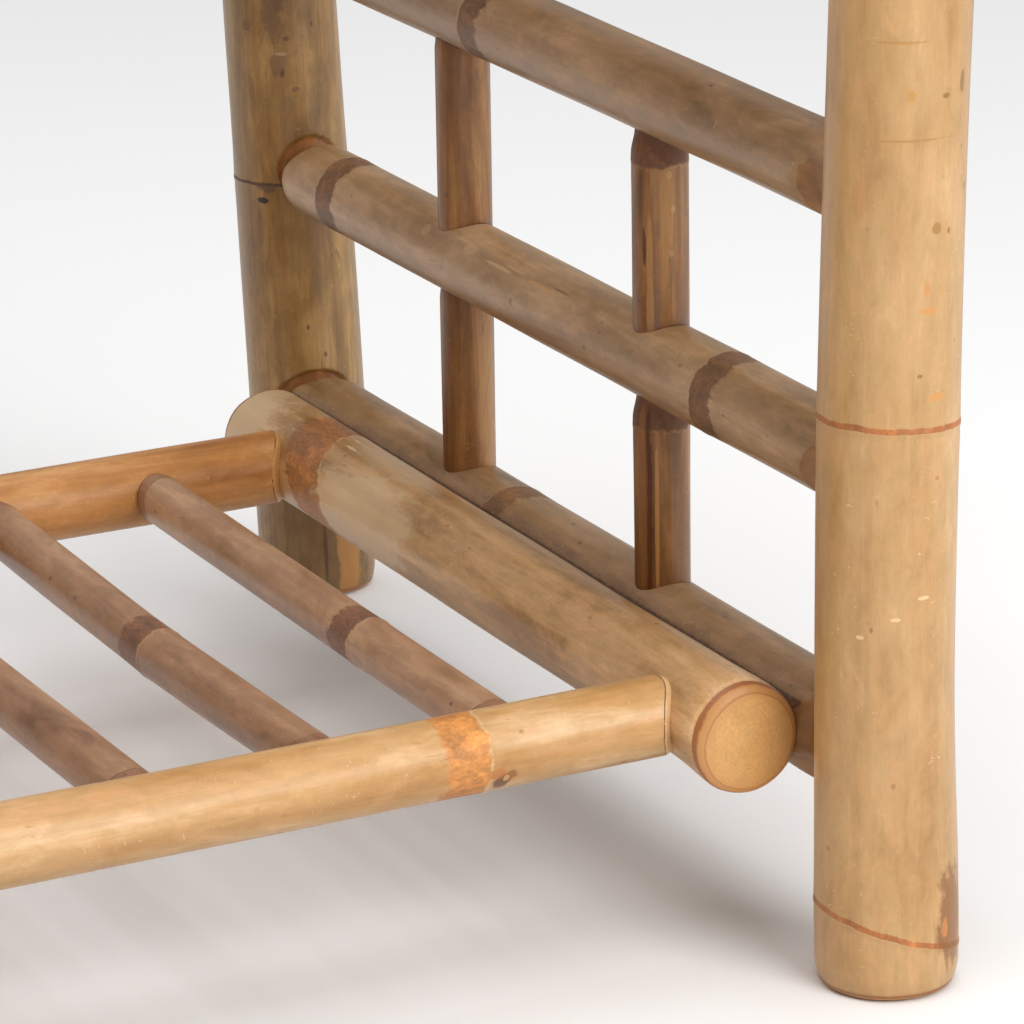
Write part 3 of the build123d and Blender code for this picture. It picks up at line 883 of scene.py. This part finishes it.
# The back legs are darker than the front ones: partly their own olive colour, partly painted shade for
# the weaker light that falls on them.
BACK_LEG_LOOK_WITH_SHADE = dict(dark=(96, 68, 34), base=(154, 116, 62), light=(190, 152, 92),
                     band=(88, 56, 32), streak=1.0, contrast=1.0, mottle=0.9, dirt=0.6)
SIDE_RAIL_LOOK = dict(dark=(174, 120, 62), base=(208, 163, 107), light=(236, 203, 157),
                      band=(214, 142, 72), streak=0.45, contrast=0.85, mottle=0.8, lip=4.2 * MM)
BACK_SIDE_RAIL_LOOK = dict(dark=(148, 92, 42), base=(202, 140, 76), light=(228, 178, 114),
                           band=(150, 88, 44), streak=0.6, contrast=1.0, mottle=0.8,
                           lip=4.2 * MM)
RAIL_LOOK = dict(dark=(130, 98, 64), base=(174, 138, 98), light=(204, 168, 128),
                 band=(132, 92, 58), streak=0.5, contrast=0.9, mottle=1.0, dirt=0.35,
                 trim=(154, 108, 64))
SPINDLE_LOOK = dict(dark=(84, 50, 22), base=(138, 92, 46), light=(176, 128, 72),
                    band=(116, 74, 46), streak=1.1, contrast=1.7, mottle=0.6)
END_POLE_LOOK = dict(dark=(164, 120, 72), base=(216, 173, 122), light=(238, 206, 160),
                     band=(176, 116, 64), streak=0.9, contrast=1.1, mottle=0.9, dirt=0.4)
SLAT_LOOK = dict(dark=(128, 88, 60), base=(174, 132, 98), light=(204, 164, 126),
                 band=(136, 92, 64), streak=0.5, contrast=0.8, mottle=1.1, lip=9 * MM,
                 cap=(132, 84, 56))
SKINS = {
    "leg": bamboo("leg_bamboo", **LEG_LOOK),
    "leg_front_right": bamboo("scarred_leg_bamboo", **LEG_LOOK, spots=FRONT_LEG_MARKS),
    "leg_back_left": bamboo("dark_leg_bamboo", **BACK_LEG_LOOK_WITH_SHADE),
    "leg_back_right": bamboo("budded_leg_bamboo", **BACK_LEG_LOOK_WITH_SHADE, spots=BACK_LEG_MARKS_AND_PAINTED_LIGHT),
    "rail": bamboo("rail_bamboo", **RAIL_LOOK),
    SCARRED_RAIL: bamboo("scarred_rail_bamboo", **RAIL_LOOK, spots=RAIL_MARKS),
    "end_pole": bamboo("end_pole_bamboo", **END_POLE_LOOK),
    END_POLE: bamboo("banded_pole_bamboo", **END_POLE_LOOK, spots=END_POLE_MARKS_AND_SHEEN),
    "side_rail": bamboo("side_rail_bamboo", **SIDE_RAIL_LOOK),
    SHELF_RAIL: bamboo("knotted_rail_bamboo", **SIDE_RAIL_LOOK, spots=SHELF_RAIL_MARKS),
    "shelf_side_rail_back": bamboo("back_rail_bamboo", **BACK_SIDE_RAIL_LOOK),
    "slat": bamboo("slat_bamboo", **SLAT_LOOK),
    "spindle": bamboo("spindle_bamboo", **SPINDLE_LOOK),
    LOWER_SPINDLE: bamboo("striped_spindle_bamboo", **SPINDLE_LOOK, spots=LOWER_SPINDLE_MARKS),
    UPPER_SPINDLE: bamboo("flecked_spindle_bamboo", **SPINDLE_LOOK, spots=UPPER_SPINDLE_MARKS),
}
LEG_BEVEL, END_POLE_BEVEL = 1.8 * MM, 3.0 * MM    # broken edges of the sawn ends
SAWN_LEG = sawn_wood("sawn_leg_bamboo", (214, 162, 96), (150, 96, 48), LEG_BEVEL)
SAWN_POLE = sawn_wood("sawn_pole_bamboo", (220, 168, 102), (160, 94, 48), END_POLE_BEVEL)
PLUG_WOOD = hardwood("plug_hardwood")
ZINC = zinc("zinc_steel")


def make(node, group, seed, **shape):
    """One culm in place of its CAD node, with its group's skin unless it has one of its own."""
    sawn = SAWN_POLE if group == "end_pole" else SAWN_LEG
    skin = SKINS.get(node, SKINS[group])
    body = Culm(node, seed, **shape).piece(f"{node}_culm", (skin, sawn))


# ---------------------------------------------------------------- the rack's culms
RAIL_NAMES = ("bottom", "middle", "upper", "top")
LEG_RINGS = {
    "leg_front_right": (0.0225, 0.2112, 0.461),
    "leg_back_right": (0.1835, 0.461),
    "leg_front_left": (0.034, 0.243, 0.461),
    "leg_back_left": (0.125, 0.322, 0.461),
}
# How far a ring leans along X and along Y, in radii, for each ring of a leg.
RING_TILTS = {"leg_front_right": ((-0.33, 0.06), (-0.063, -0.036), (0.03, 0.0))}
# Hollows worn along a leg, and swellings, which have a negative depth:
# side, middle, half length, half width in radians, depth.
LEG_HOLLOWS = {
    "leg_back_right": ((math.radians(-124), 0.300, 0.052, 0.22, 1.6 * MM),
                       (math.radians(-122), 0.238, 0.005, 0.2, -1.2 * MM),
                       (math.radians(-27), 0.280, 0.120, 1.2, 2.2 * MM)),
    "leg_front_right": ((math.radians(-27), 0.030, 0.055, 1.3, -2.0 * MM),),
}


LEG_BANDS = {"front": 2.2 * MM, "back": 1.4 * MM}
# A rail's socket in a leg: how far it is above the rail's axis, and its reach in rail radii.
LEG_SOCKETS = {"front": (0.0, 1.04), "back": (2.6 * MM, 0.9)}
LEG_SOCKET_DEPTH = 2.0 * MM


def legs():
    """Four legs, sawn at both ends, with a shallow socket for each rail."""
    for node, seed in LEG_SEEDS.items():
        _, place, side = node.split("_")
        toward_rails = math.pi / 2 if place == "front" else -math.pi / 2
        lift, reach = LEG_SOCKETS[place]
        sockets = []
        for name in RAIL_NAMES:
            rail = Pole(f"rail_{name}_{side}")
            sockets.append((rail.centre[2] + lift, toward_rails, reach * rail.radius,
                            LEG_SOCKET_DEPTH))
        make(node, "leg", seed, nodes=LEG_RINGS[node], tilts=RING_TILTS.get(node), around=176,
             band=LEG_BANDS[place], relief=0.2 * MM, sockets=sockets,
             dents=LEG_HOLLOWS.get(node, ()), step=4 * MM, bevel=LEG_BEVEL,
             pencils=((0.955, 9 * MM), (1.0, 1.0)))


RAIL_RINGS = {"bottom": (0.041,), "middle": (0.187, -0.135), "upper": (0.050,),
              "top": (0.172, -0.060)}
# Facets trimmed at a rail's front end: side of the rail, place, slope and greatest depth.
RAIL_FACETS = {
    "bottom": ((math.radians(-75), -0.209, -0.42, 5 * MM),
               (math.radians(-125), -0.213, -0.5, 4 * MM)),
    "middle": ((math.radians(-104), -0.216, -0.55, 4 * MM),),
    "upper": ((math.radians(-104), -0.2115, -0.55, 5 * MM),),
    "top": ((math.radians(-60), -0.214, -0.5, 4 * MM),),
}
RAIL_TONES = {"bottom": -1.1, "middle": 1.0, "upper": -0.1, "top": 0.0}
LEFT_SHIFT = 0.03                                # the nodes of the left rails are further back
BESIDE = {"bottom": "shelf", "top": "deck"}      # the rails that an end pole lies against
RAIL_REACH, END_POLE_REACH = 11.0 * MM, 2.0 * MM    # of the shade along the line where they touch


def rails():
    """Four rails an end frame. Their front ends are trimmed to facets, their back ends tapered."""
    for index, side in enumerate(("right", "left")):
        shift = 0.0 if side == "right" else LEFT_SHIFT
        for number, name in enumerate(RAIL_NAMES):
            beside = (f"{BESIDE[name]}_end_pole_{side}", RAIL_REACH) if name in BESIDE else None
            make(f"rail_{name}_{side}", "rail", RAIL_SEED + 5 * index + number,
                 nodes=tuple(ring + shift for ring in RAIL_RINGS[name]), around=96, band=-15 * MM,
                 relief=0.15 * MM, bow=0.8 * MM, sink=3.4 * MM,
                 pencils=((0.95, 8 * MM), (0.64, 15 * MM)), facets=RAIL_FACETS[name],
                 tone=RAIL_TONES[name], touching=beside,
                 seats=(f"leg_front_{side}", f"leg_back_{side}"))


def spindles():
    """Four spindles a side. The front ones have a dark tapered neck, the back ones have none."""
    bays = {"lower": ("bottom", "middle"), "upper": ("middle", "upper")}
    seed = SPINDLE_SEED - 1
    for side in ("right", "left"):
        for bay, (below, above) in bays.items():
            for place in ("front", "back"):
                seed += 1
                node = f"spindle_{bay}_{place}_{side}"
                necks = (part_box(node)[1][2] - 13 * MM,) if place == "front" else ()
                taper = (0.86, 10 * MM) if place == "front" else (0.96, 5 * MM)
                make(node, "spindle", seed, around=72, nodes=necks, band=30 * MM, relief=0.1 * MM,
                     step=2 * MM, pencils=((1.0, 1.0), taper),
                     seats=(f"rail_{below}_{side}", f"rail_{above}_{side}"))


SLAT_RINGS = (0.070, -0.048, 0.012, -0.090, 0.048, -0.034, -0.061)


def grids():
    """The shelf and the luggage deck: end poles, side rails and slats."""
    seed = GRID_SEED
    for tier in ("shelf", "deck"):
        for side in ("right", "left"):
            seed += 1
            node = f"{tier}_end_pole_{side}"
            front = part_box(node)[0][1]
            rail = "bottom" if tier == "shelf" else "top"
            make(node, "end_pole", seed, nodes=(0.106,), around=120, tilts=((0.52, 0.39),),
                 band=31 * MM, relief=0.1 * MM, step=4 * MM, bevel=END_POLE_BEVEL, lop=0.3,
                 dents=((NOSE, front, 18 * MM, 1.6, -4.2 * MM),
                        (NOSE + math.pi, front, 8 * MM, 1.2, 3.2 * MM)),
                 touching=(f"rail_{rail}_{side}", END_POLE_REACH))
        for place, rings in (("front", (0.193, -0.040)), ("back", (0.090, -0.160))):
            seed += 1
            make(f"{tier}_side_rail_{place}", "side_rail", seed, nodes=rings, around=88,
                 band=-17 * MM, bow=1.0 * MM, step=4 * MM,
                 relief=0.12 * MM, pencils=((0.88, 4 * MM), (0.88, 4 * MM)),
                 seats=(f"{tier}_end_pole_left", f"{tier}_end_pole_right"))
        for number, ring in enumerate(SLAT_RINGS, 1):
            seed += 1
            make(f"{tier}_slat_{number}", "slat", seed, nodes=(ring,), around=64, band=18 * MM,
                 bow=0.8 * MM, kink=1.5 * MM, relief=0.2 * MM, step=4 * MM,
                 pencils=((0.93, 5 * MM), (0.93, 5 * MM)),
                 seats=(f"{tier}_side_rail_front", f"{tier}_side_rail_back"))


legs()
rails()
spindles()
grids()


# ---------------------------------------------------------------- pieces that stay as the CAD made them
for node, body in frame["nodes"].items():
    if node.endswith("plugs") or "_plugs_" in node:
        finish_material = PLUG_WOOD
    elif node in ("connector_bolts", "saddle_washers", "insert_nuts"):
        finish_material = ZINC
    else:
        continue
    for material_slot in body.material_slots:
        material_slot.material = finish_material


# ---------------------------------------------------------------- floor, light and camera
def paper(name, colour):
    """Matt, almost even paper of the floor."""
    g = Graph(name)
    place = g.node("TexCoord").outputs["Object"]
    cloud = g.noise(g.scaled(place, (3, 3, 3)), 3, 0.5)
    low = linear(*[c - 2 for c in colour])
    g.put(g.shader.inputs["Base Color"], g.mix(cloud, low, linear(*colour)))
    g.shader.inputs["Roughness"].default_value = 0.9
    return g.material


def floor():
    reach = 30.0
    corners = [(-reach, -reach, 0), (reach, -reach, 0), (reach, reach, 0), (-reach, reach, 0)]
    mesh = bpy.data.meshes.new("floor")
    mesh.from_pydata(corners, [], [(0, 1, 2, 3)])
    mesh.materials.append(paper("pale_floor", (250, 250, 250)))
    plane = bpy.data.objects.new("floor", mesh)
    bpy.context.collection.objects.link(plane)


def lamp(name, place, target, size, power):
    """A round area lamp, white and not seen by the camera."""
    data = bpy.data.lights.new(name, "AREA")
    data.shape = "DISK"
    data.size = size
    data.energy = power
    light = bpy.data.objects.new(name, data)
    light.location = place
    light.rotation_euler = (Vector(target) - Vector(place)).to_track_quat("-Z", "Y").to_euler()
    light.visible_camera = False
    bpy.context.collection.objects.link(light)


def world(strength):
    sky = bpy.data.worlds.new("studio")
    sky.use_nodes = True
    background = sky.node_tree.nodes["Background"]
    background.inputs[0].default_value = (1.0, 1.0, 1.0, 1.0)
    background.inputs[1].default_value = strength
    bpy.context.scene.world = sky


EYE = (-0.6265, -1.8538, 0.7973)
GAZE = (0.42553, 0.84821, -0.31538)
ROLL = math.radians(-0.95)
SENSOR, LENS = 36.0, 196.9     # in millimetres


def camera():
    """A long lens from the front left, looking down on the right end frame."""
    data = bpy.data.cameras.new("camera")
    data.sensor_width = SENSOR
    data.lens = LENS
    data.clip_end = 50.0
    forward = Vector(GAZE).normalized()
    level = forward.cross(Vector((0, 0, 1))).normalized()
    right = level * math.cos(ROLL) + level.cross(forward) * math.sin(ROLL)
    turn = Matrix((right, right.cross(forward), -forward)).transposed()
    eye = bpy.data.objects.new("camera", data)
    eye.matrix_world = Matrix.Translation(EYE) @ turn.to_4x4()
    bpy.context.collection.objects.link(eye)
    bpy.context.scene.camera = eye


floor()
lamp("key", (0.7, -2.1, 1.3), (0.3, -0.2, 0.2), 1.4, 30)
lamp("top", (0.0, -0.2, 3.2), (0.1, 0, 0.2), 4.0, 84)
world(0.34)
camera()
bpy.context.scene.view_settings.view_transform = "Standard"
